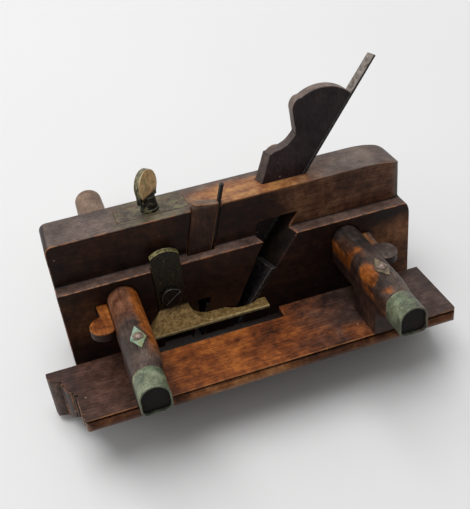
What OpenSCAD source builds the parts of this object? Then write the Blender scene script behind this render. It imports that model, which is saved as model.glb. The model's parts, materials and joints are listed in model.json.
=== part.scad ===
// Sash fillister plane: a stock with a fence that slides on two wedged stems.
// Tool coordinates: X from the toe to the heel, Y from the fence side to the far side, Z up from the sole.
// resting() then leans the whole tool back onto its fence rail and stem ends, as it lies on a bench.

/* [Stock] */
// Length of the stock, toe to heel
stock_l = 240; // [236:1:250]
// Height of the stock
stock_h = 92; // [91:0.5:93]
// Thickness of the stock at the sole
stock_w = 39; // [38:0.5:42]
// Height of the ledge above the sole
ledge_z = 62; // [60:0.5:64]
// Width of the ledge, which sets the upper part back
ledge_w = 9.3; // [8.5:0.1:9.8]
// Length of the rounding on top of the heel
heel_l = 28; // [20:1:32]
// How far that rounding falls
heel_drop = 8.5; // [6:0.5:12]
// Radius of the heel's near corner, above the ledge
heel_near_r = 11; // [6:1:13]
// Radius of the heel's far corner
heel_far_r = 7; // [4:1:10]
// Radius of the toe's top corner
toe_r = 5; // [3:0.5:8]

/* [Main iron and wedge] */
// Angle of the bed above the sole, square to the cutting edge
bed_pitch = 55; // [54:0.5:56]
// Skew of the cutting edge, far end leading
skew = 15; // [14:0.5:16]
// Where the bed meets the sole on the fence side
mouth_x = 113.8; // [113:0.2:115]
// Thickness of the iron at its edge
iron_t = 3.2; // [2.8:0.1:3.6]
// Thickness of the iron at the top of its tang
tang_t = 1.4; // [1.2:0.1:2]
// Far edge of the blade
blade_y = 33; // [31:0.5:34]
// Height of the blade's shoulder
shoulder_z = 39; // [36:1:42]
// Width of the iron's tang
tang_w = 6.2; // [5.6:0.1:7]
// Width of the wedge
wedge_w = 8.2; // [7.6:0.1:9]
// Height of the tang's top end
tang_z = 161; // [150:1:170]
// Slope of the wedge's front, from upright
wedge_slope = 19.7; // [19:0.1:20.5]

/* [Nicker] */
// Lean of the nicker, from upright
nicker_lean = 15.3; // [15:0.1:15.6]
// Back of the nicker's slot at the top of the stock
nicker_x = 112.4; // [112:0.1:113]
// Thickness of the nicker iron
nicker_t = 2.1; // [1.8:0.1:2.6]
// Length of the nicker's wedge along the stock, at its top
nicker_wedge_l = 17; // [16:0.5:17.5]

/* [Stems and keys] */
// Centre of the front stem, from the toe
front_stem_x = 39; // [38.5:0.5:39]
// Centre of the rear stem, from the toe
rear_stem_x = 192.5; // [190:0.5:196]
// Width of a stem
stem_w = 20; // [19:0.5:20]
// Height of a stem's flat underside
stem_z = 31.5; // [31:0.5:33]
// Height of a stem's crown
stem_top = 57; // [56:0.5:58]
// Far end of the stems
stem_far = 135; // [130:1:140]
// Near end of the stems, out beyond the fence
stem_near = 93.5; // [90:0.5:96]
// Length of the brass ferrule on a stem's near end
ferrule_l = 17.5; // [15:0.5:19]
// Width of a stem's near end, where it wears the ferrule
end_w = 18.2; // [17:0.2:19]
// Height of the crown of that end
end_top = 55.4; // [54:0.2:56.5]
// Height of its underside
end_z = 35.6; // [34:0.2:38]

/* [Fence] */
// Gap between the fence and the stock, as set
fence_gap = 10; // [9.7:0.1:10.3]
// Width of the fence, across the tool
fence_w = 53.2; // [52.6:0.2:54]
// Height of the fence's top face
fence_top = 14.7; // [14.5:0.1:15]
// Depth of the fence's rail below the sole
rail_drop = 18; // [17:0.5:18]
// Toe end of the fence, ahead of the stock
fence_toe = 19.3; // [19:0.1:20]
// Heel end of the fence
fence_heel = 241; // [240:0.5:246]

/* [Depth stop] */
// Centre of the depth stop's slide and thumbscrew
stop_x = 69.7; // [69:0.1:70]
// Width of the slide
slide_w = 18.6; // [18:0.2:19.5]
// Height of the slide's rounded top
slide_top = 74.4; // [72:0.2:78]
// Underside of the stop's foot, as set
foot_z = 16; // [14:0.5:17]
// How far the foot stands out from the stock
foot_w = 10.2; // [9.8:0.1:10.3]
// Heel end of the foot
foot_end = 132; // [128:1:134]

/* [Fits] */
// Room round the sliding stems
stem_gap = 0.3; // [0.2:0.05:0.4]
// Room round wedges, keys and the stop's slide
wood_gap = 0.2; // [0.15:0.05:0.3]
// Room round turned shanks
shank_gap = 0.05; // [0.03:0.01:0.08]

/* [Hidden] */
$fn = 64;
eps = 1;
far = 400;

// Bed, iron and wedge, measured square to the cutting edge
bed_run = tan(90 - bed_pitch);
iron_lift = 0.4;
bevel_clearance = 25;
bevel_rise = iron_t / sin(bed_pitch) / (1 / tan(bevel_clearance) - bed_run);
tang_y = 20.5;
wedge_y = 20.4;
wedge_back_gap = 0.06;
wedge_top_x = 34.5;
wedge_tip_z = 30;
escapement_z = 71.6;
throat_front = [[-5.2, -eps], [-5.2, 0], [-1, 17], [20.3, 61], [23.4, escapement_z]];
iron_travel = 4;
wedge_nose_z = 111.1;

// Nicker
nicker_y = 7;
nicker_far_y = 13.4;
nicker_iron_y = 9.6;
nicker_iron_far = 12.6;
nicker_run = nicker_t / cos(nicker_lean);
nicker_wedge_lean = 13.8;
nicker_wedge_end = 36;
nicker_top_z = 105;
nicker_blade_z = 25;
nicker_mouth = [[79, -1], [86.3, 22], [86.3, 29.7]];
nicker_mouth_z = 29.7;
nicker_side = 0.3;
nicker_bevel = 25;
nicker_bevel_y = 8;

// Stems, keys and what fastens them
stem_r = stem_w / 2;
spring_z = stem_top - stem_r;
foot_near = 63;
foot_far = 32.5;
ferrule_t = 1.1;
end_recess = 1.5;
end_corner = 4;
front_lean = -1.2;
rear_lean = -0.4;
taper_slab = 0.5;
seat_gap = 0.02;
rivet_y = -52.5;
rivet_r = 2.2;
diamond = [9.8, 20.5];
plate_t = 0.9;
burr_r = 5;
burr_t = 1.3;
key_z = 41;
key_t = 6;
key_tip = 46;
key_w_tip = 4.4;
key_w_face = 7.4;
key_w_waist = 6.5;
knob_r = 9;
knob_in = 5.8;
front_knob_y = -20;
rear_knob_y = -23.6;

// Depth stop
slide_t = 4;
slide_proud = 0.2;
slide_arch = 3.4;
foot_gap = 0.1;
gusset_z = 31.2;
gusset_x = 60.7;
foot_toe = 50.2;
foot_t = 1.7;
foot_t_end = 2.1;
foot_t_sweep = 2.9;
sweep_r = 14;
sweep_x = 93.5;
scallop_x = 115.5;
scallop_r = 18.5;
scallop_in = 4;
screw_z = 40;
screw_head_r = 6.7;
screw_head_t = 2.6;
screw_shank_r = 2.5;
screw_shank_l = 16;
screw_slot = [1.5, 1.2];
screw_turn = 38;
nut = [10.4, 26.8, 12];
stop_down = 12;
stop_up = 6;
screw_y = (ledge_w + stock_w) / 2 + 0.3;
thumb_r = 3;
thumb_room = 0.3;
thumb_end = 12;
collar_r = 6;
collar_h = 2;
neck_r = 4.6;
neck_h = 9;
head_w = 19;
head_h = 21;
head_t = 4.4;
head_face = 1.4;
head_z = 109.4;
head_turn = 44;
plate = [46, 15, 1.6];
plate_x = stop_x + 0.3;
plate_screw_in = 4;
plate_screw_r = 1.2;
plate_screw_l = 11;
plate_screw_head = [2.6, 1.4, 0.6];
thrust_r = 5.5;
thrust_h = 3;
thrust_room = 0.5;
end_play = 0.1;

// Fence section and ends
bead_r = 3.8;
bead_proud = 1.2;
lip_t = 1;
quirk_w = 1.1;
quirk_d = 3.4;
rail_w = 6;
rail_round = 3;
under_bow = 1.6;
under_w = 16;
fence_t = lip_t + quirk_w + 2 * bead_r;
notch_toe = 47;
notch_heel = 138;
notch_depth = 11;
notch_floor = -3;

// How the tool lies: on the rail's inner edge and the far ends of the stems
lean = atan((stem_z + rail_drop) / (stem_far + fence_gap));
floor_z = fence_gap * sin(lean) - rail_drop * cos(lean);
low_y = -stem_near * cos(lean) + end_z * sin(lean);
high_y = stem_far * cos(lean) + stem_top * sin(lean);

function bed_x(z) = z * bed_run;
function iron_t_at(z) = iron_t + (tang_t - iron_t) * z / tang_z;
function face_x(z) = bed_x(z) - iron_t_at(z) / sin(bed_pitch);
function wedge_x(z) = wedge_top_x - (stock_h - z) * tan(wedge_slope);
function nicker_back(z) = nicker_x - (stock_h - z) * tan(nicker_lean);
function nicker_front(z) = nicker_x - nicker_run - nicker_wedge_l - (stock_h - z) * tan(nicker_wedge_lean);
function arc(c, r, a0, a1, n = 12) = [for (i = [0:n], a = a0 + (a1 - a0) * i / n) c + r * [cos(a), sin(a)]];
function bowed(p, q, rise, n = 10) = [for (i = [0:n])
    p + (q - p) * i / n + rise * sin(180 * i / n) * [q[1] - p[1], p[0] - q[0]] / norm(q - p)];

// Leans the upright tool back and puts its box's bottom centre at the origin
module resting() {
    translate([-(fence_heel - fence_toe) / 2, -(low_y + high_y) / 2, -floor_z])
        rotate([-lean, 0, 0]) children();
}

// Draws an outline of X and Z and gives it a width from y0 to y1
module side_plate(y0, y1) {
    translate([0, y1, 0]) rotate([90, 0, 0]) linear_extrude(y1 - y0) children();
}

// The same, with the width running along the skewed cutting edge
module skew_plate() {
    translate([mouth_x, 0, 0]) rotate([0, 0, skew]) side_plate(-60, 100) children();
}

// Draws an outline of Y and Z and gives it a length from x0 to x1
module cross_plate(x0, x1) {
    translate([x0, 0, 0]) rotate([90, 0, 90]) linear_extrude(x1 - x0) children();
}

// Keeps what lies between two distances from the fence side and between two heights
module kept(y0, y1, z0 = -far, z1 = far) {
    intersection() {
        children();
        translate([-far, y0, z0]) cube([3 * far, y1 - y0, z1 - z0]);
    }
}

// Material outside a round corner of radius r whose centre is at the origin, towards +X and +Y
module corner(r) {
    difference() {
        square(2 * r);
        circle(r);
    }
}

// Side view of a block as long as the stock, whose top line rolls down at the heel
module rolled_block(top, roll_l, drop, n = 14) {
    heel = [for (i = [0:n], a = 90 * i / n) [stock_l - roll_l * (1 - sin(a)), top - drop * (1 - cos(a))]];
    polygon(concat([[0, 0], [0, top]], heel, [[stock_l, 0]]));
}

// Side view of the stock's upper part
module upper_outline() {
    difference() {
        rolled_block(stock_h, heel_l, heel_drop);
        translate([toe_r, stock_h - toe_r]) mirror([1, 0]) corner(toe_r);
    }
}

// Side view of the throat in front of the bed
module throat_outline() {
    polygon(concat(throat_front, [[bed_x(escapement_z), escapement_z], [bed_x(-eps), -eps]]));
}

// Throat, escapement and the mortise for the tang and wedge
module throat() {
    kept(-eps, wedge_y + wedge_w + wood_gap) skew_plate() throat_outline();
    kept(-eps, blade_y + stem_gap, -eps, shoulder_z + iron_travel + 2) skew_plate() throat_outline();
    kept(wedge_y - wood_gap, wedge_y + wedge_w + wood_gap) skew_plate()
        polygon([[wedge_x(escapement_z - eps), escapement_z - eps], [wedge_x(stock_h + eps), stock_h + eps],
            [bed_x(stock_h + eps), stock_h + eps], [bed_x(escapement_z - eps), escapement_z - eps]]);
}

// Slot, mortise and side mouth for the nicker and its wedge
module nicker_mortise() {
    low_z = nicker_mouth_z - eps;
    side_plate(nicker_y - wood_gap, nicker_far_y + wood_gap) polygon([
        [nicker_front(low_z), low_z], [nicker_front(stock_h + eps), stock_h + eps],
        [nicker_back(stock_h + eps), stock_h + eps], [nicker_back(low_z), low_z]]);
    side_plate(-eps, nicker_far_y + wood_gap)
        polygon(concat(nicker_mouth,
            [[nicker_back(nicker_mouth_z), nicker_mouth_z], [nicker_back(-eps), -eps]]));
}

// Arch-topped section of a stem, let out or drawn in by grow, as X and Z about its centre
module stem_section(grow = 0) {
    translate([0, spring_z]) circle(stem_r + grow);
    translate([-stem_r - grow, stem_z - grow]) square([stem_w + 2 * grow, spring_z - stem_z + grow]);
}

// Mortise for a stem with the tapered slot for its key on one side
module stem_mortise(x, side) {
    translate([x, 0, 0]) side_plate(-eps, stock_w + eps) stem_section(stem_gap);
    translate([x, 0, key_z - wood_gap]) scale([side, 1, 1]) linear_extrude(key_t + 2 * wood_gap)
        polygon([[0, -eps], [stem_r + key_edge(-eps) + wood_gap, -eps],
            [stem_r + key_edge(stock_w + eps) + wood_gap, stock_w + eps], [0, stock_w + eps]]);
}

// Outer edge of a key, measured out from the side of its stem, at a distance y past the near face
function key_edge(y) = key_w_face + (key_w_tip - key_w_face) * y / key_tip;

// Trench, nut slot and screw holes for the depth stop
module stop_housing() {
    end_room = 1;
    translate([stop_x - slide_w / 2 - wood_gap, -eps, -eps])
        cube([slide_w + 2 * wood_gap, slide_t + wood_gap + eps, ledge_z + 2 * eps]);
    translate([stop_x - nut[0] / 2 - wood_gap, slide_t, screw_z - nut[2] / 2 - stop_down - end_room])
        cube([nut[0] + 2 * wood_gap, nut[1] + end_room, nut[2] + stop_down + stop_up + 2 * end_room]);
    translate([stop_x, screw_y, thumb_end - end_room]) cylinder(r = thumb_r + thumb_room, h = stock_h);
    translate([stop_x, screw_y, stock_h - plate[2] - thrust_h - end_play - thrust_room])
        cylinder(r = thrust_r + thrust_room, h = thrust_h + 2 * thrust_room);
    plate_pocket();
    plate_screws(shank_gap);
}

module plate_pocket() {
    translate([plate_x - plate[0] / 2, screw_y - plate[1] / 2, stock_h - plate[2]])
        cube([plate[0], plate[1], plate[2] + eps]);
}

// Two countersunk screws, let out by grow
module plate_screws(grow = 0) {
    for (end = [-1, 1]) {
        translate([plate_x + end * (plate[0] / 2 - plate_screw_in), screw_y, stock_h]) {
            translate([0, 0, -plate_screw_l]) cylinder(r = plate_screw_r + grow,
                h = plate_screw_l - plate_screw_head[1] - plate_screw_head[2]);
            translate([0, 0, -plate_screw_head[1] - plate_screw_head[2]])
                cylinder(r1 = plate_screw_r + grow, r2 = plate_screw_head[0] + grow, h = plate_screw_head[1]);
            translate([0, 0, -plate_screw_head[2]])
                cylinder(r = plate_screw_head[0] + grow, h = plate_screw_head[2]);
        }
    }
}

module stock() {
    step_roll = [4, 9];
    color("#3a2418") difference() {
        union() {
            side_plate(0, stock_w) rolled_block(ledge_z, step_roll[0], step_roll[1], 8);
            difference() {
                side_plate(ledge_w, stock_w) upper_outline();
                translate([stock_l - heel_near_r, ledge_w + heel_near_r, -eps])
                    linear_extrude(stock_h + 2 * eps) mirror([0, 1]) corner(heel_near_r);
            }
        }
        translate([stock_l - heel_far_r, stock_w - heel_far_r, -eps])
            linear_extrude(stock_h + 2 * eps) corner(heel_far_r);
        throat();
        nicker_mortise();
        stem_mortise(front_stem_x, -1);
        stem_mortise(rear_stem_x, 1);
        stop_housing();
    }
}

module top_plate() {
    color("#6d6140") difference() {
        intersection() {
            plate_pocket();
            translate([0, 0, stock_h - plate[2]]) cube([stock_l, stock_w, plate[2]]);
        }
        translate([stop_x, screw_y, 0]) cylinder(r = thumb_r + shank_gap, h = far);
        plate_screws(seat_gap);
    }
}

module top_plate_screws() {
    color("#8a7c4c") difference() {
        plate_screws();
        for (end = [-1, 1]) {
            translate([plate_x + end * (plate[0] / 2 - plate_screw_in), screw_y, stock_h])
                rotate(30 * end) cube([8, 0.6, 0.8], center = true);
        }
    }
}

// Iron with a narrow tang and a wide shouldered blade, ground on its back
module main_iron() {
    color("#4b4744") intersection() {
        skew_plate() polygon([
            [face_x(iron_lift), iron_lift],
            [bed_x(iron_lift + bevel_rise), iron_lift + bevel_rise],
            [bed_x(tang_z), tang_z],
            [face_x(tang_z + tang_t * cos(bed_pitch)), tang_z + tang_t * cos(bed_pitch)]]);
        union() {
            translate([0, tang_y, 0]) cube([far, tang_w, far]);
            cube([far, blade_y, shoulder_z]);
        }
    }
}

// Wedge: its front and back follow the skewed iron, and its scoop and grip are sawn straight across
module main_wedge() {
    top = 175;
    scoop = [[40.7, 112.4], [55.6, 121]];
    cheek = [61.8, 137.5];
    cheek_r = 7.5;
    crown = [74.5, 121.5];
    crown_r = 26.8;
    color("#2b1d16") kept(wedge_y, wedge_y + wedge_w) intersection() {
        skew_plate() polygon([
            [face_x(wedge_tip_z) - wedge_back_gap, wedge_tip_z],
            [wedge_x(wedge_tip_z + 5), wedge_tip_z + 5],
            [wedge_x(wedge_nose_z), wedge_nose_z],
            [wedge_x(wedge_nose_z), top],
            [face_x(top) - wedge_back_gap, top]]);
        translate([mouth_x, 0, 0]) side_plate(0, stock_w) polygon(concat(
            [[-40, -eps], [-40, wedge_nose_z], [37.2, wedge_nose_z]],
            bowed(scoop[0], scoop[1], 2, 8),
            arc(cheek, cheek_r, 192, 118, 10),
            arc(crown, crown_r, 121, 30, 16),
            [[far, -eps]]));
    }
}

// Nicker: a narrow shank that widens to a knife at the fence side
module nicker_iron() {
    color("#26221f") difference() {
        intersection() {
            side_plate(nicker_side, nicker_iron_far) polygon([
                [nicker_back(iron_lift) - nicker_run, iron_lift],
                [nicker_back(iron_lift), iron_lift],
                [nicker_back(nicker_top_z), nicker_top_z],
                [nicker_back(nicker_top_z) - nicker_run, nicker_top_z]]);
            union() {
                translate([0, nicker_iron_y, 0]) cube([far, nicker_iron_far - nicker_iron_y, far]);
                cube([far, nicker_iron_far, nicker_blade_z]);
            }
        }
        translate([0, nicker_bevel_y, 0]) rotate([nicker_bevel, 0, 0])
            translate([0, 0, -20]) cube([far, 20, 20]);
    }
}

module nicker_wedge() {
    round_r = 3.5;
    front_z = stock_h + 4.8;
    back_z = stock_h + 2;
    tail_z = nicker_wedge_end - 3;
    iron_x = nicker_run + seat_gap;
    color("#5a3419") difference() {
        side_plate(nicker_y, nicker_far_y) polygon([
            [nicker_front(nicker_wedge_end), nicker_wedge_end],
            [nicker_front(front_z), front_z],
            [nicker_back(back_z) - iron_x, back_z],
            [nicker_back(tail_z) - iron_x, tail_z]]);
        translate([nicker_front(stock_h), nicker_y, stock_h]) rotate([0, nicker_wedge_lean, 0])
            translate([round_r, round_r, -far / 2]) rotate(180) linear_extrude(far) corner(round_r);
    }
}

// Oval outline of the thumbscrew's head
module oval(w, h, n = 48) {
    polygon([for (i = [0:n - 1]) [w / 2 * cos(360 * i / n), h / 2 * sin(360 * i / n)]]);
}

// The same with a square lower half, for the back of the head
module spade(w, h) {
    inset = 0.5;
    oval(w, h);
    translate([inset - w / 2, -h / 2]) square([w - 2 * inset, h / 2]);
}

module thumbscrew() {
    color("#a08a45") translate([stop_x, screw_y, 0]) {
        translate([0, 0, thumb_end]) cylinder(r = thumb_r, h = stock_h - thumb_end + 1);
        translate([0, 0, stock_h + end_play]) cylinder(r = collar_r, h = collar_h);
        translate([0, 0, stock_h + 1]) cylinder(r1 = collar_r - 0.4, r2 = neck_r, h = neck_h);
        translate([0, 0, head_z]) rotate(head_turn) rotate([90, 0, 0]) translate([0, 0, -head_t / 2]) {
            linear_extrude(head_t) oval(head_w, head_h);
            linear_extrude(head_t - head_face) spade(head_w, head_h);
        }
    }
}

// Ring pinned to the thumbscrew under the plate, which takes its thrust
module thrust_collar() {
    color("#7d7044") translate([stop_x, screw_y, stock_h - plate[2] - thrust_h - end_play]) difference() {
        cylinder(r = thrust_r, h = thrust_h);
        translate([0, 0, -eps]) cylinder(r = thumb_r + seat_gap, h = thrust_h + 2 * eps);
    }
}

// Slide with a rounded top, and a foot joined to it by a sloping gusset swept down towards the heel
module depth_stop() {
    arch_r = (slide_w * slide_w / 4 + slide_arch * slide_arch) / (2 * slide_arch);
    arch_z = slide_top - arch_r;
    color("#7c7340") difference() {
        union() {
            side_plate(-slide_proud, slide_t) intersection() {
                translate([stop_x - slide_w / 2, foot_z]) square([slide_w, slide_top - foot_z]);
                union() {
                    translate([stop_x, arch_z]) circle(arch_r, $fn = 128);
                    translate([stop_x - slide_w, 0]) square([2 * slide_w, arch_z]);
                }
            }
            intersection() {
                cross_plate(foot_toe, foot_end) polygon([[-foot_gap, foot_z], [-foot_w, foot_z],
                    [-foot_w, foot_z + foot_t], [-foot_gap, gusset_z]]);
                side_plate(-foot_w, -foot_gap) difference() {
                    polygon([[foot_toe, foot_z], [foot_end, foot_z], [foot_end, foot_z + foot_t_end],
                        [sweep_x, foot_z + foot_t_sweep], [sweep_x, gusset_z], [gusset_x, gusset_z],
                        [foot_toe, foot_z + foot_t]]);
                    translate([sweep_x, foot_z + foot_t_sweep + sweep_r]) circle(sweep_r);
                }
            }
        }
        translate([scallop_x, scallop_r - scallop_in, 0]) cylinder(r = scallop_r, h = far);
        translate([stop_x, far / 2, screw_z]) rotate([90, 0, 0])
            cylinder(r = screw_shank_r + shank_gap, h = far);
    }
}

// Slotted screw that holds the slide to its nut
module stop_screw() {
    color("#4a4a4c") translate([stop_x, -slide_proud, screw_z]) rotate([90, 0, 0]) difference() {
        union() {
            cylinder(r = screw_head_r, h = screw_head_t);
            translate([0, 0, -screw_shank_l]) cylinder(r = screw_shank_r, h = screw_shank_l + eps);
        }
        translate([0, 0, screw_head_t]) rotate(screw_turn)
            cube([far, screw_slot[0], 2 * screw_slot[1]], center = true);
    }
}

// Block inside the stock that rides on the thumbscrew and carries the slide
module stop_nut() {
    color("#8a7b45") difference() {
        translate([stop_x - nut[0] / 2, slide_t, screw_z - nut[2] / 2]) cube(nut);
        translate([stop_x, screw_y, 0]) cylinder(r = thumb_r + shank_gap, h = far);
        translate([stop_x, screw_shank_l + 1, screw_z]) rotate([90, 0, 0])
            cylinder(r = screw_shank_r + shank_gap, h = far);
    }
}

// Section of the fence as Y and Z: rail at the inner side, lip, quirk and bead along the outer edge
module fence_section() {
    outer = -fence_gap - fence_w;
    bead = [outer + bead_r, fence_top - fence_t + bead_r];
    polygon(concat(
        [[-fence_gap, fence_top], [-fence_gap, -rail_drop], [-fence_gap - rail_w, -rail_drop]],
        bowed([-fence_gap - rail_w - rail_round, -rail_drop + rail_round],
            [outer + under_w, fence_top - fence_t], -under_bow),
        arc(bead, bead_r, 270, 90, 16),
        [[outer + quirk_d, fence_top - lip_t], [outer + bead_proud, fence_top - lip_t],
            [outer + bead_proud, fence_top]]));
}

// Plan of the fence: an ovolo, fillets, an astragal and the quirks between them, moulded on the toe end
module fence_plan() {
    ovolo_r = 8.4;
    ovolo = [ovolo_r - fence_toe, -13];
    outer = -fence_gap - fence_w;
    heel_corner = 5;
    polygon(concat(
        [[-fence_toe, -fence_gap + eps]],
        arc(ovolo, ovolo_r, 180, 256, 10),
        [[-10.2, -21.6], [-10.2, -22.8], [-11.6, -23.3], [-11.3, -24.8], [-9.2, -25.2], [-9.2, -26.4]],
        bowed([-10.5, -26.9], [-6.7, -34.4], 0.7, 6),
        [[-4.8, -34.4], [-4.8, -35.5], [-5.9, -35.9], [-5.5, -37], [-2.6, -37.2], [-2.6, -38.8]],
        [[-4.1, -39.2], [-3.3, -55], [-1.6, -55.6], [-1.6, -56.8], [-2.6, -57.4]],
        bowed([-2.3, -59], [1.6, outer + 0.2], 0.9, 6),
        [[2.4, outer - eps]],
        arc([fence_heel - heel_corner, outer + heel_corner], heel_corner, 270, 360, 8),
        [[fence_heel, -fence_gap + eps]]));
}

module fence() {
    toe_round = 5;
    color("#4f2f1b") difference() {
        intersection() {
            cross_plate(-far, far) fence_section();
            translate([0, 0, -far / 2]) linear_extrude(far) fence_plan();
        }
        translate([toe_round - fence_toe, 0, toe_round - rail_drop]) rotate([90, 0, 0])
            linear_extrude(far) mirror([1, 1]) corner(toe_round);
        translate([notch_toe, -fence_gap - notch_depth, notch_floor])
            cube([notch_heel - notch_toe, notch_depth + eps, far]);
        for (x = [front_stem_x, rear_stem_x]) {
            translate([x, rivet_y, -far / 2]) cylinder(r = rivet_r + shank_gap, h = far);
            translate([x, rivet_y, fence_top - fence_t + burr_t - far])
                cylinder(r = burr_r + shank_gap, h = far);
        }
    }
}

// Smaller section of a stem's near end, drawn in by inset
module end_section(inset = 0) {
    r = end_w / 2;
    low_z = end_z + end_corner;
    translate([0, end_top - r]) circle(r - inset);
    translate([inset - r, low_z]) square([2 * (r - inset), end_top - r - low_z]);
    translate([end_corner - r, end_z + inset]) square([2 * (r - end_corner), end_corner]);
    for (side = [-1, 1]) translate([side * (r - end_corner), low_z]) circle(end_corner - inset);
}

// Stem with its foot on the fence, tapering to its near end, which is turned down for the ferrule
module stem(x, end_lean) {
    taper = [-stem_near + ferrule_l, -foot_near];
    color("#4a2c1a") difference() {
        translate([x, 0, 0]) {
            side_plate(taper[1], stem_far) stem_section();
            hull() {
                side_plate(taper[1], taper[1] + taper_slab) stem_section();
                translate([end_lean, 0, 0]) side_plate(taper[0], taper[0] + taper_slab) end_section();
            }
            translate([end_lean, 0, 0]) side_plate(-stem_near + end_recess, taper[0] + taper_slab)
                end_section(ferrule_t + shank_gap);
            translate([-stem_r, -foot_near, fence_top])
                cube([stem_w, foot_near - foot_far, stem_z - fence_top + eps]);
        }
        translate([x, rivet_y, 0]) cylinder(r = rivet_r + shank_gap, h = far);
    }
}

module ferrule(x, end_lean) {
    color("#69705a") translate([x + end_lean, 0, 0]) side_plate(-stem_near, -stem_near + ferrule_l)
        difference() {
            end_section();
            end_section(ferrule_t);
        }
}

// Diamond plate bent over the crown of a stem
module diamond_plate(x) {
    color("#7f8a6a") translate([x, 0, 0]) difference() {
        intersection() {
            translate([0, rivet_y, spring_z]) linear_extrude(far)
                polygon([[diamond[0] / 2, 0], [0, diamond[1] / 2],
                    [-diamond[0] / 2, 0], [0, -diamond[1] / 2]]);
            side_plate(rivet_y - 20, rivet_y + 20) difference() {
                translate([0, spring_z]) circle(stem_r + plate_t);
                translate([0, spring_z]) circle(stem_r + seat_gap);
            }
        }
        translate([0, rivet_y, 0]) cylinder(r = rivet_r + shank_gap, h = far);
    }
}

// Rivet with a low domed head, clenched under the fence
module rivet(x) {
    head_r = 3.2;
    dome_r = 4.2;
    tail = fence_top - fence_t;
    seat = stem_top + plate_t;
    color("#6a5648") translate([x, rivet_y, 0]) {
        translate([0, 0, tail]) cylinder(r = rivet_r, h = seat - tail + 0.5);
        translate([0, 0, tail - 0.8]) cylinder(r = 3, h = 0.8);
        intersection() {
            translate([0, 0, seat + 1.9 - dome_r]) sphere(dome_r);
            translate([0, 0, seat]) cylinder(r = head_r, h = 3);
        }
    }
}

module burr(x) {
    color("#7d7a52") translate([x, rivet_y, fence_top - fence_t]) difference() {
        cylinder(r = burr_r, h = burr_t);
        translate([0, 0, -eps]) cylinder(r = rivet_r + shank_gap, h = burr_t + 2 * eps);
    }
}

// Tapered key beside a stem, narrower at its waist, with a round knob to tap it out by
module key(x, side, knob_y) {
    color("#7a431c") translate([x, 0, key_z]) scale([side, 1, 1]) linear_extrude(key_t) {
        polygon([[stem_r + stem_gap, knob_y], [stem_r + key_w_waist, knob_y],
            [stem_r + key_w_waist, knob_y + knob_r], [stem_r + key_edge(0), 0],
            [stem_r + key_edge(key_tip), key_tip], [stem_r + stem_gap, key_tip]]);
        intersection() {
            translate([stem_r + stem_gap, knob_y - knob_r]) square(2 * knob_r);
            translate([stem_r + knob_in, knob_y]) circle(knob_r);
        }
    }
}

resting() stock();
resting() top_plate();
resting() top_plate_screws();
resting() main_iron();
resting() main_wedge();
resting() nicker_iron();
resting() nicker_wedge();
resting() thumbscrew();
resting() thrust_collar();
resting() depth_stop();
resting() stop_screw();
resting() stop_nut();
resting() fence();
resting() stem(front_stem_x, front_lean);  // front_stem
resting() stem(rear_stem_x, rear_lean);  // rear_stem
resting() ferrule(front_stem_x, front_lean);  // front_ferrule
resting() ferrule(rear_stem_x, rear_lean);  // rear_ferrule
resting() diamond_plate(front_stem_x);  // front_diamond_plate
resting() diamond_plate(rear_stem_x);  // rear_diamond_plate
resting() rivet(front_stem_x);  // front_rivet
resting() rivet(rear_stem_x);  // rear_rivet
resting() burr(front_stem_x);  // front_burr
resting() burr(rear_stem_x);  // rear_burr
resting() key(front_stem_x, -1, front_knob_y);  // front_key
resting() key(rear_stem_x, 1, rear_knob_y);  // rear_key
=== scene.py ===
import json
import math

import bmesh
import bpy
import numpy as np
from mathutils import Matrix, Vector, geometry
from mathutils.bvhtree import BVHTree


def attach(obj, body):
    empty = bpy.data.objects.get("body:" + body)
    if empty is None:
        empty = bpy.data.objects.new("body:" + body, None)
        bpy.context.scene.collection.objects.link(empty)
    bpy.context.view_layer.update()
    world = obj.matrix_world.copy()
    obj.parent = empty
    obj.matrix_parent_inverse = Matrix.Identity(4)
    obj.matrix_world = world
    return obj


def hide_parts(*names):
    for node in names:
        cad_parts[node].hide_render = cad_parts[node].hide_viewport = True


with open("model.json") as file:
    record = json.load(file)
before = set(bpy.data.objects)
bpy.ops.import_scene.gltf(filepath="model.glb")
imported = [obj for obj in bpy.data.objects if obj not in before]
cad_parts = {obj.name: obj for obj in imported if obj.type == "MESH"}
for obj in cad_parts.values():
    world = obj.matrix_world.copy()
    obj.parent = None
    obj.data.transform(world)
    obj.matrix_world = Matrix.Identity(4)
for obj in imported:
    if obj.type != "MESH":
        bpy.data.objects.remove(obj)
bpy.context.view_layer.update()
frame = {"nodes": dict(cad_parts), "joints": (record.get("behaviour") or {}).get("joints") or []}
bpy.ops.object.select_all(action="DESELECT")

# Camera: it stands where the photograph was taken from, in front of the toe and well above the
# bench. The place, the aim and the small roll come from the edges of the stock, stems and fence.
CAMERA_AT = Vector((-0.09865, -0.30306, 0.4665))
CAMERA_AIM = Vector((0.2051, 0.5729, -0.7936))
CAMERA_ROLL = math.radians(0.64)
CAMERA_LENS = 55.14
camera = bpy.data.objects.new("camera", bpy.data.cameras.new("camera"))
bpy.context.scene.collection.objects.link(camera)
camera.data.lens = CAMERA_LENS
turn = CAMERA_AIM.to_track_quat("-Z", "Y").to_matrix() @ Matrix.Rotation(CAMERA_ROLL, 3, "Z")
camera.matrix_world = Matrix.Translation(CAMERA_AT) @ turn.to_4x4()
bpy.context.scene.camera = camera

# Stock: one block of old beech, oiled nearly black on its sides and grey on top with dust and a painted
# sheen.
# Its arrises are rubbed through to brown wood, and the top is orange ahead of the wedge.
slide = next(j for j in frame["joints"] if j["name"] == "fence_slide")
LEAN = -math.asin(slide["axis"][2])
MM_PER_M = 1000
near_arris = min((v.co for v in frame["nodes"]["stock"].data.vertices),
                 key=lambda p: (round(p.y, 6), p.x))


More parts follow.
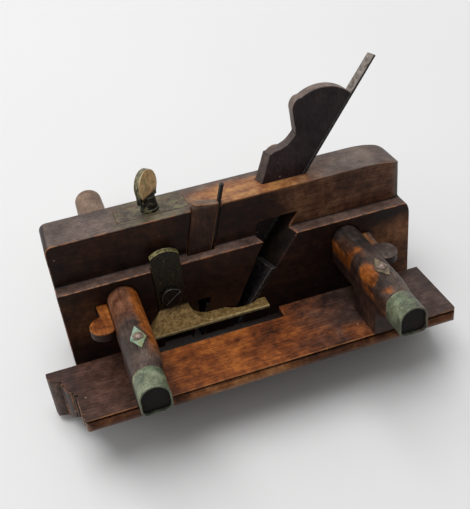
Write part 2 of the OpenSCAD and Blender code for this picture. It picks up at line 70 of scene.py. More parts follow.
def paint(text):
    """The linear colour of a hex code, as the shader wants it."""
    parts = [int(text[i:i + 2], 16) / 255 for i in (1, 3, 5)]
    return tuple(p / 12.92 if p <= 0.04045 else ((p + 0.055) / 1.055) ** 2.4 for p in parts) + (1.0,)


class Shade:
    """One output of a shader node. Sums written with it add Math nodes."""

    def __init__(self, finish, socket):
        self.finish = finish
        self.socket = socket

    def sum(self, operation, *values):
        """A Math node with some values or links."""
        return self.finish.node("ShaderNodeMath", {"operation": operation}, dict(enumerate(values)))

    def __add__(self, other):
        return self.sum("ADD", self, other)

    def __radd__(self, other):
        return self.sum("ADD", other, self)

    def __sub__(self, other):
        return self.sum("SUBTRACT", self, other)

    def __rsub__(self, other):
        return self.sum("SUBTRACT", other, self)

    def __mul__(self, other):
        return self.sum("MULTIPLY", self, other)

    def __rmul__(self, other):
        return self.sum("MULTIPLY", other, self)

    def larger(self, other):
        return self.sum("MAXIMUM", self, other)

    def smaller(self, other):
        return self.sum("MINIMUM", self, other)

    def step(self, low, high):
        """0 below low, 1 above high and smooth between; high may be the smaller one."""
        fall = low > high
        ends = (high, low) if fall else (low, high)
        sockets = {0: self, 1: ends[0], 2: ends[1], 3: float(fall), 4: float(not fall)}
        return self.finish.node("ShaderNodeMapRange", {"interpolation_type": "SMOOTHSTEP"}, sockets)

    def between(self, low, high, soft):
        """1 from low to high, falling off over a soft length on each side."""
        return self.step(low - soft, low + soft) * self.step(high + soft, high - soft)


class Finish:
    """A material with the tool's own coordinates in millimetres, from toe, near face and sole."""

    def __init__(self, name, metallic=0.0, specular=0.5):
        self.material = bpy.data.materials.new(name)
        self.material.use_nodes = True
        self.tree = self.material.node_tree
        self.shader = self.tree.nodes["Principled BSDF"]
        self.shader.inputs["Metallic"].default_value = metallic
        self.shader.inputs["Specular IOR Level"].default_value = specular
        place = self.node("ShaderNodeTexCoord", output="Object")
        shift = Matrix.Rotation(LEAN, 3, "X") @ near_arris * -MM_PER_M
        self.place = self.node("ShaderNodeMapping", inputs={
            "Vector": place, "Location": shift, "Rotation": (LEAN, 0, 0), "Scale": (MM_PER_M,) * 3})
        split = self.node("ShaderNodeSeparateXYZ", inputs={0: self.place})
        self.x, self.y, self.z = (Shade(self, split.socket.node.outputs[i]) for i in range(3))
        self.arris = self.node("ShaderNodeAttribute", {"attribute_name": "arris"}, output="Fac")
        self.nook = self.node("ShaderNodeAttribute", {"attribute_name": "nook"}, output="Fac")

    def node(self, kind, settings=None, inputs=None, output=0):
        """Adds a node, sets it up, feeds its sockets with numbers, colours or links, and gives one output."""
        made = self.tree.nodes.new(kind)
        for key, value in (settings or {}).items():
            if key == "stops":
                marks = made.color_ramp.elements
                for extra in range(len(value) - len(marks)):
                    marks.new(0.5)
                for mark, (position, colour) in zip(marks, value):
                    mark.position = position
                    mark.color = colour
            else:
                setattr(made, key, value)
        for key, value in (inputs or {}).items():
            if isinstance(value, Shade):
                self.tree.links.new(value.socket, made.inputs[key])
            else:
                made.inputs[key].default_value = value
        return Shade(self, made.outputs[output])

    def mix(self, share, first, second):
        """The first colour where the share is 0 and the second where it is 1."""
        return self.node("ShaderNodeMix", {"data_type": "RGBA"}, {0: share, 6: first, 7: second}, output=2)

    def ramp(self, value, *colours, low=0.4, high=0.62):
        """Spreads some paints evenly over a value from low to high."""
        gap = (high - low) / (len(colours) - 1)
        stops = [(low + gap * i, paint(colour)) for i, colour in enumerate(colours)]
        return self.node("ShaderNodeValToRGB", {"stops": stops}, {0: value})

    def speckle(self, scale, detail=3.0, roughness=0.55, stretch=None, distortion=0.0):
        """Noise in the tool's millimetres: scale is in lumps per millimetre, stretch draws them out."""
        where = self.place
        if stretch:
            where = self.node("ShaderNodeVectorMath", {"operation": "MULTIPLY"}, {0: self.place, 1: stretch})
        sockets = {"Vector": where, "Scale": scale, "Detail": detail, "Roughness": roughness,
                   "Distortion": distortion}
        return self.node("ShaderNodeTexNoise", inputs=sockets)

    def close(self, colour, roughness, height=None, depth=0.0002):
        """Joins colour, roughness and a bump height to the shader and gives the material."""
        self.tree.links.new(colour.socket, self.shader.inputs["Base Color"])
        self.tree.links.new(roughness.socket, self.shader.inputs["Roughness"])
        if height:
            bump = self.node("ShaderNodeBump", inputs={"Height": height, "Distance": depth, "Strength": 1.0})
            self.tree.links.new(bump.socket, self.shader.inputs["Normal"])
        return self.material


ALONG_X = (0.05, 1.0, 1.0)
ALONG_Y = (1.0, 0.05, 1.0)
ALONG_Z = (1.0, 1.0, 0.06)


def beech(name, tones, zones=(), grain=ALONG_X, worn=("#5e3a26", "#9a6440"), wear=0.5, specular=0.2,
          dull=None):
    """Old oiled beech: streaks along the grain, short flecks, rubbed arrises and painted shade in the
    corners.

    Each zone is a function that gives its mask, the tones that it has there and its roughness. Another
    function may give a mask where the arrises have stayed dark."""
    finish = Finish(name, specular=specular)
    cloud = finish.speckle(0.03, 4.0)
    mottle = finish.speckle(0.17, 4.0, 0.6)
    streak = finish.speckle(0.9, 5.0, 0.65, stretch=grain, distortion=0.25)
    fleck = finish.speckle(1.6, 2.0, 0.5, stretch=tuple(max(s, 0.22) for s in grain))
    tone = cloud * 0.4 + mottle * 0.34 + streak * 0.26
    colour = finish.ramp(tone, *tones)
    rough = (mottle - 0.5) * 0.3 + (streak - 0.5) * 0.25 + 0.5
    for zone in zones:
        mask, zone_tones, polish = zone(finish)
        colour = finish.mix(mask, colour, finish.ramp(tone, *zone_tones))
        rough = rough + mask * polish
    colour = finish.mix(fleck.step(0.44, 0.33) * 0.6, colour, paint(tones[0]))
    fray = finish.speckle(0.13, 4.0, 0.7)
    rubbed = (finish.arris * (fray * 4.0 - 0.35)).step(1.1 - wear * 0.7, 1.5 - wear * 0.7)
    if dull:
        rubbed = rubbed * (1 - dull(finish))
    colour = finish.mix(rubbed * 0.9, colour, finish.ramp(streak, *worn))
    # Painted shade: the concave corners are darkened nearly black.
    colour = finish.mix(finish.nook.step(0.1, 0.8) * 0.85, colour, paint("#0b0807"))
    dust = finish.node("ShaderNodeTexVoronoi", inputs={"Vector": finish.place, "Scale": 0.06})
    colour = finish.mix(dust.step(0.036, 0.026) * 0.8, colour, paint("#a39484"))
    dent = finish.speckle(0.25, 3.0, 0.6)
    height = streak * 0.4 + fleck * 0.2 + dent * 0.4
    return finish.close(colour, rough.smaller(0.8).larger(0.28), height, 0.0003)


def only(piece):
    """Makes a piece the only one that is selected, and active."""
    bpy.ops.object.select_all(action="DESELECT")
    piece.select_set(True)
    bpy.context.view_layer.objects.active = piece


def apply(piece, kind, **settings):
    """Adds a modifier, sets it up and applies it."""
    only(piece)
    bpy.ops.object.modifier_add(type=kind)
    modifier = piece.modifiers[-1]
    for key, value in settings.items():
        setattr(modifier, key, value)
    bpy.ops.object.modifier_apply(modifier=modifier.name)


def gap_between(one, two):
    """Shortest way between two edges that don't cross."""
    (a, b), (c, d) = ((v.co for v in edge.verts) for edge in (one, two))
    ways = []
    for point, start, end in ((a, c, d), (b, c, d), (c, a, b), (d, a, b)):
        nearest, share = geometry.intersect_point_line(point, start, end)
        nearest = start if share < 0 else end if share > 1 else nearest
        ways.append((point - nearest).length)
    return min(ways)


def bend(one, two):
    """The corner that two edges make at the vertex they share: a straight run is half a turn."""
    corner = (set(one.verts) & set(two.verts)).pop()
    return (one.other_vert(corner).co - corner.co).angle(two.other_vert(corner).co - corner.co)


def runs_of(grid, sharp_angle, faint_angle):
    """Sorts the sharp edges into smooth runs. Fainter edges that carry a run on belong to it."""
    angle = {e: e.calc_face_angle(0.0) for e in grid.edges if len(e.link_faces) == 2}
    runs = {}
    for seed in sorted(angle, key=lambda e: -angle[e]):
        if seed in runs or angle[seed] < sharp_angle:
            continue
        run, todo = [], [seed]
        runs[seed] = run
        while todo:
            edge = todo.pop()
            run.append(edge)
            for vert in edge.verts:
                for other in vert.link_edges:
                    if other in runs or angle.get(other, 0) < faint_angle:
                        continue
                    if other.is_convex != edge.is_convex:
                        continue
                    if bend(edge, other) > math.radians(145):
                        runs[other] = run
                        todo.append(other)
    return runs


def faces_in_plane(seed, left):
    """The connected faces, out of some, that lie in one plane with a first one."""
    left.discard(seed)
    group = [seed]
    for face in group:
        for edge in face.edges:
            for other in edge.link_faces:
                if other in left and abs(other.normal.dot(seed.normal)) > 0.9999 \
                        and all(abs((v.co - seed.verts[0].co).dot(seed.normal)) < 2e-6 for v in other.verts):
                    left.remove(other)
                    group.append(other)
    return group


def planes_of(grid):
    """All the flat parts of a mesh, the largest faces first. Worn strips are left out."""
    flat = [f for f in grid.faces if not f.material_index]
    left = set(flat)
    for seed in sorted(flat, key=lambda f: -f.calc_area()):
        if seed in left:
            yield faces_in_plane(seed, left)


def widths_of(grid, runs, widest):
    """How wide each run of edges can be worn before it meets the runs beside it on a flat part."""
    room, reach, ends = {}, {}, {}
    for edge, run in runs.items():
        room[edge] = widest
        reach[edge] = max(edge.calc_length(), min(sum(e.calc_length() for e in run) / 3, widest * 3))
        ends[edge] = {vert for e in run for vert in e.verts}
    for group in planes_of(grid):
        rim = [e for e in {e for f in group for e in f.edges} if e in runs]
        for one in rim:
            for two in rim:
                together = runs[one] is runs[two]
                if one == two:
                    continue
                if set(one.verts) & set(two.verts):
                    sizes = (one.calc_length(), two.calc_length()) if together else (reach[one], reach[two])
                    free = min(sizes) * math.tan(min(bend(one, two), 3.1) / 2)
                elif together or set(one.verts) & ends[two]:
                    continue
                else:
                    free = gap_between(one, two)
                room[one] = min(room[one], free / 2.2)
    return {edge: min(room[other] for other in run) for edge, run in runs.items()}


def within(spot, outline):
    """Whether a point lies inside an outline of straight pieces, holes left out."""
    crossed = 0
    for a, b in outline:
        if (a.y > spot.y) != (b.y > spot.y):
            crossed += spot.x < a.x + (b.x - a.x) * (spot.y - a.y) / (b.y - a.y)
    return crossed % 2 == 1


def redraw_flats(grid):
    """Draws each flat part's triangles again from its outline, because old ones can cross a new arris."""
    for group in list(planes_of(grid)):
        if len(group) == 1 and len(group[0].verts) < 5:
            continue
        inside = set(group)
        normal = group[0].normal.copy()
        rim = [e for f in group for e in f.edges if sum(g in inside for g in e.link_faces) == 1]
        corners = sorted(dict.fromkeys(v for e in rim for v in e.verts), key=lambda v: v.index)
        number = {v: i for i, v in enumerate(corners)}
        right = normal.orthogonal().normalized()
        up = normal.cross(right)
        spots = [Vector((v.co.dot(right), v.co.dot(up))) for v in corners]
        ties = [[number[v] for v in e.verts] for e in rim]
        drawn = geometry.delaunay_2d_cdt(spots, ties, [], 1, 1e-8)
        outline = [(spots[a], spots[b]) for a, b in ties]
        middles = [sum((drawn[0][i] for i in t), Vector((0, 0))) / 3 for t in drawn[2]]
        triangles = [t for t, middle in zip(drawn[2], middles) if within(middle, outline)]
        level = normal * corners[0].co.dot(normal)
        order = [corners[origin[0]] if origin else grid.verts.new(right * spot.x + up * spot.y + level)
                 for spot, origin in zip(drawn[0], drawn[3])]
        bmesh.ops.delete(grid, geom=group, context="FACES_ONLY")
        for triangle in triangles:
            face = grid.faces.new([order[i] for i in triangle])
            face.normal_update()
            if face.normal.dot(normal) < 0:
                face.normal_flip()
    loose = [e for e in grid.edges if not e.link_faces]
    bmesh.ops.delete(grid, geom=loose, context="EDGES")


def mark(piece, name, edges, widths):
    """Stores on the worn strips how near each corner is to some old edges: 1 on an edge, 0 at its width."""
    mesh = piece.data
    points = np.array([v.co for v in mesh.vertices])
    near = np.zeros(len(points))
    for (start, end), width in zip(edges, widths):
        run = end - start
        along = np.clip((points - start) @ run / max(run @ run, 1e-18), 0, 1)
        away = np.linalg.norm(points - start - along[:, None] * run, axis=1)
        near = np.maximum(near, 1 - away / (1.25 * width))
    layer = mesh.attributes.new(name, "FLOAT", "CORNER")
    values = np.zeros(len(mesh.loops))
    for face in mesh.polygons:
        if face.material_index:
            for corner in face.loop_indices:
                values[corner] = near[mesh.loops[corner].vertex_index]
    layer.data.foreach_set("value", values.astype(np.float32))


def dressed(node, body, material, arris=0.0006, steps=2, angle=35):
    """A merged copy of a construction solid, with its sharp edges worn round, that stands for it."""
    piece = frame["nodes"][node].copy()
    piece.data = frame["nodes"][node].data.copy()
    bpy.context.scene.collection.objects.link(piece)
    for key in list(piece.keys()):
        del piece[key]
    piece.parent = None
    piece.name = node + "_worn"
    piece.data.materials.clear()
    for place in range(2):
        piece.data.materials.append(material)
    only(piece)
    bpy.ops.object.mode_set(mode="EDIT")
    bpy.ops.mesh.select_all(action="SELECT")
    bpy.ops.mesh.remove_doubles(threshold=0.000004)
    bpy.ops.mesh.dissolve_limited(angle_limit=math.radians(0.6))
    bpy.ops.object.mode_set(mode="OBJECT")
    grid = bmesh.new()
    grid.from_mesh(piece.data)
    solid = BVHTree.FromBMesh(grid)
    weight = grid.edges.layers.float.new("bevel_weight_edge")
    found = {True: ([], []), False: ([], [])}
    widths = widths_of(grid, runs_of(grid, math.radians(angle), math.radians(angle / 3)), arris)
    for edge, width in widths.items():
        edge[weight] = width / arris
        places, sizes = found[edge.is_convex]
        places.append([v.co[:] for v in edge.verts])
        sizes.append(max(width, arris * 0.1))
    grid.to_mesh(piece.data)
    grid.free()
    apply(piece, "BEVEL", width=arris, segments=steps, limit_method="WEIGHT", use_clamp_overlap=False,
          loop_slide=False, miter_outer="MITER_ARC", material=1)
    grid = bmesh.new()
    grid.from_mesh(piece.data)
    redraw_flats(grid)
    grid.to_mesh(piece.data)
    grid.free()
    for vert in piece.data.vertices:
        spot, facing, number, away = solid.find_nearest(vert.co)
        if away > arris * 0.8:
            vert.co = spot
    for name, convex in (("arris", True), ("nook", False)):
        places, sizes = found[convex]
        mark(piece, name, np.array(places).reshape(-1, 2, 3), sizes)
    for face in piece.data.polygons:
        face.material_index = 0
    piece.data.materials.pop(index=1)
    only(piece)
    bpy.ops.object.shade_smooth_by_angle(angle=math.radians(50))
    apply(piece, "WEIGHTED_NORMAL", keep_sharp=True, weight=80)
    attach(piece, body)
    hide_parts(node)
    return piece


def stock_top(finish):
    """Grey-brown top: dust at the toe, and a painted sheen of the light from above."""
    return finish.z.step(91.0, 91.8), ("#41342f", "#5f5049", "#7a6a60"), -0.1


def stock_top_stain(finish):
    """Olive stain round the plate."""
    drift = finish.speckle(0.07, 4.0) * 26 - 13
    share = (finish.x + drift).between(48, 90, 9) * finish.z.step(91.0, 91.8)
    return share * 0.8, ("#3f382d", "#615845", "#7e745b"), 0.05


def stock_top_rubbed(finish):
    """Orange wood from the plate to the wedge and beside it."""
    drift = finish.speckle(0.06, 4.0, 0.65) * 60 - 30
    reach = (finish.x + drift * 0.5).step(84, 110) * (finish.x + drift).step(200, 155)
    side = (finish.y + drift * 0.2).step(37, 29)
    return reach * side * finish.z.step(90.6, 91.6), ("#573423", "#8b5936", "#b88650"), -0.03


def stock_heel(finish):
    """The rounding at the heel, as grey as the top, with the same painted sheen."""
    mask = finish.x.step(213, 219) * finish.z.step(70, 84) * finish.y.step(10, 13) * 0.8
    return mask, ("#3a2c28", "#594943", "#75645a"), 0.0


def stock_upper(finish):
    """The upper side turns from red-brown at the toe to warm brown with streaks at the heel."""
    drift = finish.speckle(0.04, 4.0, 0.6) * 60 - 30
    heel = (finish.x + drift).step(140, 175)
    mask = heel * finish.z.between(63, 92, 1.0) * finish.y.step(12, 10)
    return mask, ("#321c13", "#613e2a", "#876048"), -0.03


def stock_ledge(finish):
    """Grey-brown ledge."""
    mask = finish.z.between(61.4, 62.4, 0.3) * finish.y.step(9.6, 8.8)
    return mask, ("#3a2a25", "#5e4a42", "#7d675c"), 0.0


def stock_lower(finish):
    """Warm patches low on the near face: at the heel and round the front key."""
    drift = finish.speckle(0.05, 4.0, 0.6) * 40 - 20
    heel = (finish.x + drift).step(200, 230) * (finish.z + drift * 0.4).step(58, 44)
    toe = (finish.x + drift * 0.3).step(30, 16) * (finish.z + drift * 0.2).between(24, 56, 6)
    near = finish.y.step(1.5, 0.8).larger(finish.x.step(224, 230) * finish.y.step(14, 10))
    return (heel + toe * 0.3) * near * finish.z.step(61, 59), ("#442616", "#784a2c", "#a37048"), 0.0


def stock_sole(finish):
    """The sole is rubbed clean by the work."""
    return finish.z.step(1.0, 0.2) * 0.8, ("#4a2f1e", "#7a5336", "#9a7350"), -0.12


def stock_throat_shade(finish):
    """Painted shade: the throat and the mortises are darkened nearly black."""
    inside = finish.y.between(1.0, 38.0, 0.6) * finish.z.between(1.5, 90.5, 0.8) * finish.x.between(8, 228, 4)
    lower = inside * finish.z.step(61.2, 60.6)
    upper = inside * finish.y.step(10.0, 10.8)
    return lower.larger(upper) * 0.85, ("#0a0908", "#15110e", "#221b16"), 0.1


def stock_dull(finish):
    """Mouths of the throat, mortises and trench."""
    low = finish.z.between(3, 60, 1.5) * finish.x.between(6, 232, 2)
    nicker = finish.z.between(64, 90, 1) * finish.x.between(88, 118, 2) * finish.y.step(16, 14)
    return low.larger(nicker)


stock_beech = beech("stock_beech", ("#170d0a", "#2c1a13", "#45291d"), [
    stock_upper, stock_lower, stock_ledge, stock_throat_shade, stock_heel, stock_top, stock_top_stain,
    stock_top_rubbed, stock_sole], worn=("#7a4a30", "#b27c56"), wear=0.55, dull=stock_dull)
stock = dressed("stock", "stock", stock_beech, arris=0.001, steps=3)

# Top plate: a strip of brass let in flush, which carries the thumbscrew's collar. It has gone as
# dark as the wood, with a green and yellow bloom round it, and two slotted screws hold it.


def metal(name, tones, scale=0.25, metallic=0.85, rough=0.42, stain=None, stain_share=0.5, worn="#8d8078",
          wear=0.5, zones=()):
    """Tarnished metal: blotches of patina, fine scratches and bright rubbed edges."""
    finish = Finish(name, metallic, 0.4)
    blotch = finish.speckle(scale, 5.0, 0.65)
    fine = finish.speckle(scale * 8, 3.0, 0.6)
    tone = blotch * 0.7 + fine * 0.3
    colour = finish.ramp(tone, *tones)
    shine = rough + (blotch - 0.5) * 0.5 + (fine - 0.5) * 0.2
    for zone in zones:
        mask, zone_tones, polish = zone(finish)
        colour = finish.mix(mask, colour, finish.ramp(tone, *zone_tones))
        shine = shine + mask * polish
    if stain:
        bloom = finish.speckle(scale * 0.6, 4.0, 0.7)
        stained = bloom.step(0.6 - stain_share * 0.3, 0.75 - stain_share * 0.3)
        colour = finish.mix(stained, colour, paint(stain))
    rubbed = (finish.arris * (blotch * 2.9)).step(0.85 - wear * 0.6, 1.05 - wear * 0.6)
    colour = finish.mix(rubbed, colour, paint(worn))
    # Painted shade: the concave corners are darkened nearly black.
    colour = finish.mix(finish.nook.step(0.1, 0.9) * 0.8, colour, paint("#0c0b09"))
    return finish.close(colour, shine.smaller(0.85).larger(0.2), blotch * 0.5 + fine * 0.5, 0.00012)


plate_brass = metal("plate_brass", ("#373027", "#55493b", "#736753"), 0.2, 0.2, 0.55, "#6b6749", 0.3,
                    "#6e604a", 0.1)
dressed("top_plate", "stock", plate_brass, arris=0.0001, steps=1)
dressed("top_plate_screws", "stock", plate_brass, arris=0.00012, steps=1)

# Main iron: forged steel, grey-brown on its long narrow tang, whose near side is left dark as painted shade,
# and black where the wide blade stands in the escapement. The edge is ground on the back.


def iron_tang(finish):
    """Grey tang, whose near side is left as dark as the wedge's cheek: painted shade on its unlit side."""
    return finish.z.step(88, 108) * finish.y.step(20.6, 20.9), ("#5a524c", "#857c75", "#a39a92"), -0.05


iron_steel = metal("iron_steel", ("#1c1a1b", "#332f30", "#504b49"), 0.4, 0.4, 0.5, worn="#77716c", wear=0.5,
                   zones=[iron_tang])
dressed("main_iron", "main_iron", iron_steel, arris=0.0003)

# Main wedge: beech again, nearly black on its sides, with a scooped nose and a round finial that
# is knocked sideways to free it. Its arrises are rubbed grey-brown, and its edge faces are painted lighter
# where the light falls on them.
BED_GRAIN = (1.0, 1.0, 0.15)


def wedge_lit_edges(finish):
    """Painted light: the sawn edge that faces the toe and the crown are painted greyer than the cheeks, as
    lit faces.
    """
    mask = finish.y.between(21.0, 28.0, 0.25) * finish.z.step(91, 93)
    return mask, ("#4a3b35", "#716259", "#8d7f76"), 0.0


def wedge_nose(finish):
    """The same edge is darker low down."""
    mask = finish.y.between(21.0, 28.0, 0.25) * finish.z.step(142, 118)
    return mask, ("#2e2421", "#4f423d", "#6a5b54"), 0.0


wedge_beech = beech("wedge_beech", ("#20181a", "#32282a", "#453739"), [wedge_lit_edges, wedge_nose],
                    grain=BED_GRAIN, worn=("#4c3a32", "#7c675a"), wear=0.3)
dressed("main_wedge", "main_wedge", wedge_beech, arris=0.0007, steps=3)

# Nicker: a narrow knife that scores the wood ahead of the iron, with its own small wedge, whose
# top corner is rounded over and rubbed.
nicker_steel = metal("nicker_steel", ("#100f0f", "#1f1c1a", "#3d3732"), 0.4, 0.4, 0.5, worn="#5d5650",
                     wear=0.3)
dressed("nicker_iron", "nicker_iron", nicker_steel, arris=0.0002)


def nicker_top(finish):
    """Dusty top."""
    return finish.z.step(92.2, 94.5), ("#48382f", "#6d594a", "#8c7663"), 0.0


def nicker_low(finish):
    """Darker towards the ledge."""
    return finish.z.step(84, 74) * 0.7, ("#1c110d", "#33211a", "#4e3427"), 0.0


nicker_beech = beech("nicker_beech", ("#2c1b14", "#4a3226", "#6c4a36"), [nicker_low, nicker_top],
                     grain=ALONG_Z, worn=("#7a4a2c", "#b88054"), wear=0.8)
dressed("nicker_wedge", "nicker_wedge", nicker_beech, arris=0.0007, steps=3)

# Thumbscrew: cast brass, turned below and flat in the grip. Its faces are rubbed golden and its
# edge and collar have kept their dark green coat.
SCREW_X, SCREW_Y = 69.7, 24.45
GRIP_TURN = math.radians(44)


def thumb_edge(finish):
    """The rim of the grip, between its two flats."""
    off = (finish.x - SCREW_X) * math.sin(GRIP_TURN) - (finish.y - SCREW_Y) * math.cos(GRIP_TURN)
    mask = off.between(-1.75, 1.75, 0.2) * finish.z.step(98, 101)
    return mask, ("#35342a", "#5e5a46", "#8c8768"), 0.05


def thumb_collar(finish):
    """Collar and neck."""
    return finish.z.step(104.5, 102.5), ("#100f0c", "#1d1b16", "#35312a"), 0.1


thumb_brass = metal("thumb_brass", ("#a88b60", "#dab785", "#f2d2a0"), 0.3, 0.25, 0.42, "#a39a70", 0.2,
                    worn="#8c8566", wear=0.45, zones=[thumb_edge, thumb_collar])
dressed("thumbscrew", "thumbscrew", thumb_brass, arris=0.0005, steps=3)
dressed("thrust_collar", "thumbscrew", plate_brass, arris=0.0002, steps=1)

# Depth stop: a brass casting whose slide runs in the stock's trench and whose foot bears on the
# work. The slide is nearly black with a yellow-green arched top painted bright as lit, and the foot is olive
# and rubbed.


def slide_crown(finish):
    """Yellow-green top of the slide with painted light on it, brightest towards the toe."""
    fade = (finish.x + finish.speckle(0.2) * 8 - 4).step(84, 66) * 0.7 + 0.3
    mask = finish.z.step(70.2, 70.8) * finish.y.step(0.2, 0.6) * fade
    return mask, ("#48462d", "#7d7650", "#aca271"), 0.0


def slide_face(finish):
    """Slide, nearly black."""
    return finish.y.step(-0.9, -0.3) * finish.z.step(24, 32), ("#12110d", "#201e16", "#38331f"), 0.0


def foot_edge(finish):
    """The foot's outer edge is polished pale."""
    return finish.y.step(-9.6, -10.0), ("#8d774c", "#bba779", "#dccaa2"), -0.05


stop_brass = metal("stop_brass", ("#6e5631", "#997b4b", "#bb9c66"), 0.5, 0.4, 0.4, "#6b5c34", 0.1,
                   worn="#a89a66", wear=0.4, zones=[slide_face, slide_crown, foot_edge])
dressed("depth_stop", "depth_stop", stop_brass, arris=0.0005, steps=3)
screw_steel = metal("screw_steel", ("#0f0f0f", "#1c1a1a", "#302c2a"), 0.5, 0.5, 0.42, worn="#7a7068",
                    wear=0.8)
dressed("stop_screw", "depth_stop", screw_steel, arris=0.0003, steps=2)
dressed("stop_nut", "depth_stop", stop_brass, arris=0.0003, steps=1)

# Fence: a wide plank with a deep rail on its inner side, a bead and quirk along its outer edge
# and mouldings stuck across its toe. Its top is worn orange and porous where the hand rides.


def fence_top(finish):
    """Grey-brown top face."""
    return finish.z.step(14.1, 14.6), ("#281b17", "#42302a", "#5c4a43"), -0.08


def fence_toe_top(finish):
    """Redder over the mouldings."""
    drift = finish.speckle(0.05, 4.0) * 50 - 25
    mask = (finish.x + drift).step(60, 25) * finish.z.step(14.1, 14.6) * 0.75
    return mask, ("#25150f", "#432a20", "#634134"), 0.0


def fence_rubbed(finish):
    """Bright orange wood in the middle of the top, and a patch by the rear foot."""
    drift = finish.speckle(0.045, 5.0, 0.65) * 70 - 35
    reach = (finish.x + drift * 0.6).step(38, 66) * (finish.x + drift).step(178, 128)
    foot = (finish.x + drift * 0.3).between(166, 184, 5) * (finish.y + drift * 0.2).step(-42, -50)
    return reach.larger(foot * 0.7) * finish.z.step(12.5, 14.4), ("#30160a", "#753c18", "#a86128"), 0.06


def fence_bead(finish):
    """Red-brown bead."""
    mask = finish.z.between(3.5, 12.8, 0.4) * finish.y.step(-54, -56)
    return mask, ("#2f190f", "#57331f", "#7d5334"), -0.1


def fence_bead_rubbed(finish):
    """The bead is lighter in the middle of its length."""
    drift = finish.speckle(0.06, 4.0) * 40 - 20
    middle = (finish.x + drift).between(55, 128, 12)
    share = middle * finish.z.between(3.5, 12.8, 0.4) * finish.y.step(-54, -56)
    return share * 0.85, ("#4a2814", "#86542f", "#b07c50"), -0.1


def fence_quirk_shade(finish):
    """Painted shade in the quirk between the bead and the top: a nearly black line."""
    mask = finish.z.between(12.3, 13.5, 0.2) * finish.y.step(-53.5, -54.5)
    return mask, ("#080605", "#0e0a08", "#17100c"), 0.2


def fence_lip(finish):
    """The top's outer edge, above the quirk, is rubbed bright."""
    share = finish.z.between(13.7, 14.6, 0.2) * finish.y.step(-61.2, -61.8) * finish.x.between(5, 205, 10)
    return share * 0.8, ("#66391a", "#a06437", "#c68b55"), 0.0


def fence_toe(finish):
    """Moulded toe, with light and dark along its members."""
    mask = finish.x.step(-0.5, -3.5) * finish.z.step(14.4, 13.6) * 0.8
    return mask, ("#261a16", "#4f3c34", "#83685a"), -0.05


fence_beech = beech("fence_beech", ("#1c110c", "#3a241a", "#553727"), [
    fence_top, fence_toe_top, fence_rubbed, fence_bead, fence_bead_rubbed, fence_quirk_shade, fence_lip, fence_toe],
    worn=("#6e4226", "#b47c4e"), wear=0.55)
dressed("fence", "fence_carriage", fence_beech, arris=0.0006, steps=3)

# Stems: two arch-topped bars that carry the fence, each with a foot under its near end. They
# are orange where the clamped part rubs, and grey along the crown.


def stem_crown(finish):
    """The crown goes grey towards the ferrule."""
    drift = finish.speckle(0.06, 4.0) * 20 - 10
    mask = finish.z.step(46, 54) * (finish.y + drift).step(-22, -42) * 0.7
    return mask, ("#30241f", "#4f413a", "#6f6057"), 0.0


def stem_root(finish):
    """Ahead of the ledge the front stem is orange-brown."""
    drift = finish.speckle(0.09, 4.0, 0.6) * 30 - 15
    mask = (finish.y + drift).between(-30, 0, 8) * finish.x.step(110, 100) * 0.8
    return mask, ("#54301f", "#895a3f", "#ad7d5c"), 0.0


def stem_rubbed(finish):
    """Bright patches: on the front stem's heel side and on the rear stem's toe side."""
    drift = finish.speckle(0.06, 4.0, 0.6)
    front = (finish.x + drift * 8 - 4).between(43, 60, 2) * (finish.y + drift * 20 - 10).step(-70, -52)
    patches = finish.speckle(0.045, 3.0, 0.55).step(0.43, 0.53)
    rear = (finish.x + drift * 10 - 5).between(170, 189, 2) * finish.z.step(38, 45) * patches
    return front.larger(rear) * finish.y.step(2, -3), ("#5e300f", "#9c5824", "#c88244"), -0.04


def stem_soot(finish):
    """The rear stem's root is nearly black on top."""
    drift = finish.speckle(0.08, 4.0, 0.6) * 24 - 12
    return (finish.y + drift).between(-26, 10, 5) * finish.x.step(150, 160) * finish.z.step(46, 52) * 0.9, (
        "#131010", "#231e1c", "#3f3733"), 0.0


def stem_far_end(finish):
    """Dull tan where the stems are never handled."""
    return finish.y.step(40, 60), ("#544135", "#7c6554", "#97806d"), 0.1


def stem_end_shade(finish):
    """Painted shade on the near end grain, which lies recessed in the ferrule: nearly black."""
    return finish.y.step(-90.5, -91.5), ("#0a0706", "#150e0c", "#241814"), 0.2


stem_beech = beech("stem_beech", ("#1d1310", "#3c2820", "#5c4034"), [
    stem_root, stem_crown, stem_rubbed, stem_soot, stem_far_end, stem_end_shade], grain=ALONG_Y,
    worn=("#5a3a28", "#96684a"), wear=0.35, specular=0.22)
for end in ("front", "rear"):
    dressed(end + "_stem", "fence_carriage", stem_beech, arris=0.0005, steps=3)

# Ferrules: bands of thin brass pinched round the stems' near ends, gone grey and green, so that
# a mallet doesn't split the end grain behind them.


def ferrule_low(finish):
    """Darker towards the fence."""
    return finish.z.step(47, 40) * 0.7, ("#1c201b", "#353b32", "#565e4e"), 0.0


def ferrule_bare(finish):
    """The rear one has lost its green on the heel side."""
    drift = finish.speckle(0.12, 4.0, 0.6) * 16 - 8
    return (finish.x + drift).step(192, 196) * 0.8, ("#241e1a", "#443b34", "#665c52"), 0.0


ferrule_brass = metal("ferrule_brass", ("#484f3f", "#687058", "#888e74"), 0.16, 0.2, 0.5, "#6c8264", 0.2,
                      worn="#7e7c66", wear=0.4, zones=[ferrule_low, ferrule_bare])
for end in ("front", "rear"):
    dressed(end + "_ferrule", "fence_carriage", ferrule_brass, arris=0.0003, steps=2)

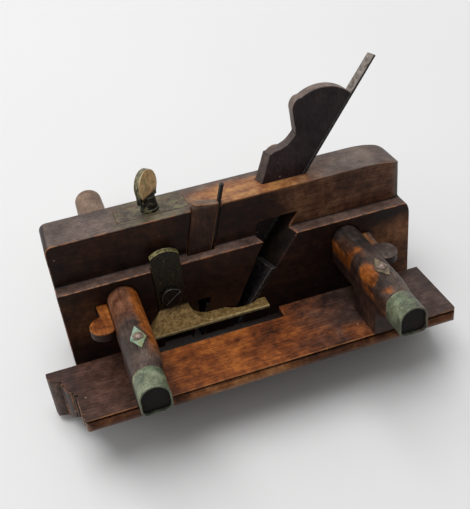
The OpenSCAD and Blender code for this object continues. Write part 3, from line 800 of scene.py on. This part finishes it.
# Diamond plates and rivets: a lozenge of brass under each rivet spreads its pull on the crown of
# the stem, and a round burr does the same where it is clenched under the fence.
front_diamond = metal("front_diamond", ("#5f7667", "#86a08f", "#aec2ae"), 0.25, 0.1, 0.6, "#7d8560", 0.6,
                      worn="#6e7654", wear=0.5)
rear_diamond = metal("rear_diamond", ("#483d31", "#6a5c49", "#8a7c64"), 0.3, 0.2, 0.55, "#75734f", 0.2,
                     worn="#8a8258", wear=0.2)
rivet_copper = metal("rivet_copper", ("#5a4a42", "#8a776c", "#a99588"), 0.5, 0.4, 0.5, worn="#b5a294",
                     wear=0.4)
for end, brass in (("front", front_diamond), ("rear", rear_diamond)):
    dressed(end + "_diamond_plate", "fence_carriage", brass, arris=0.00015, steps=1)
    dressed(end + "_rivet", "fence_carriage", rivet_copper, arris=0.0003)
    dressed(end + "_burr", "fence_carriage", brass, arris=0.0002, steps=1)

# Keys: tapered wedges beside the stems that lock the fence, each with a narrow waist and a round
# knob to tap it out by. The front one is worn bright orange on top, and the rear one is greyer.


def key_sides(finish):
    """Sides of the keys, below their worn tops."""
    return finish.z.step(46.4, 45.8), ("#1c1310", "#33241e", "#54403a"), 0.0


def key_waist(finish):
    """Orange where the rear key's body rises from the slot."""
    return finish.x.step(210, 205) * finish.y.step(-17, -12) * finish.z.step(46.2, 46.6), (
        "#4a2a18", "#7c4f30", "#a27045"), 0.0


front_key_beech = beech("front_key_beech", ("#54280e", "#935320", "#c4803c"), [key_sides], grain=ALONG_Y,
                        worn=("#7a4a2a", "#c08a58"), wear=0.4)
rear_key_beech = beech("rear_key_beech", ("#2a211e", "#4e423d", "#73615a"), [key_sides, key_waist],
                       grain=ALONG_Y, worn=("#6a564c", "#a48e80"), wear=0.5)
dressed("front_key", "front_key", front_key_beech, arris=0.0007, steps=3)
dressed("rear_key", "rear_key", rear_key_beech, arris=0.0007, steps=3)

# Bench and light: a pale sheet that runs on behind, a wide soft light above and behind the tool,
# and a weak one from the left. The room is bright behind and dim on the camera's side.
bpy.ops.mesh.primitive_plane_add(size=6, location=(0, 0, 0))
floor = bpy.context.object
floor.name = "floor"
pale = Finish("pale_sheet", specular=0.1)
sheet_tone = pale.mix(pale.speckle(0.004, 1.0), paint("#e4e4e4"), paint("#e8e8e8"))
floor.data.materials.append(pale.close(sheet_tone, pale.speckle(0.01, 1.0) * 0.1 + 0.85))


def lamp(name, place, target, size, power):
    """A square soft light."""
    made = bpy.data.objects.new(name, bpy.data.lights.new(name, "AREA"))
    bpy.context.scene.collection.objects.link(made)
    made.data.size = size
    made.data.energy = power
    made.location = place
    made.rotation_euler = (Vector(target) - Vector(place)).to_track_quat("-Z", "Y").to_euler()


lamp("back_light", (-0.3, 0.75, 2.3), (0, 0, 0.03), 1.7, 42)
lamp("side_light", (-1.3, -0.1, 0.8), (0, 0, 0.05), 0.8, 3)
world = bpy.data.worlds.new("room")
bpy.context.scene.world = world
world.use_nodes = True
backdrop = world.node_tree.nodes["Background"]
look = world.node_tree.nodes.new("ShaderNodeTexCoord")
sides = world.node_tree.nodes.new("ShaderNodeSeparateXYZ")
spread = world.node_tree.nodes.new("ShaderNodeMapRange")
spread.interpolation_type = "SMOOTHSTEP"
for socket, value in ((1, -0.3), (2, 0.8), (3, 0.2), (4, 0.85)):
    spread.inputs[socket].default_value = value
world.node_tree.links.new(look.outputs["Generated"], sides.inputs[0])
world.node_tree.links.new(sides.outputs["Y"], spread.inputs[0])
world.node_tree.links.new(spread.outputs[0], backdrop.inputs["Strength"])
backdrop.inputs["Color"].default_value = (1, 1, 1, 1)
bpy.context.scene.view_settings.view_transform = "Standard"
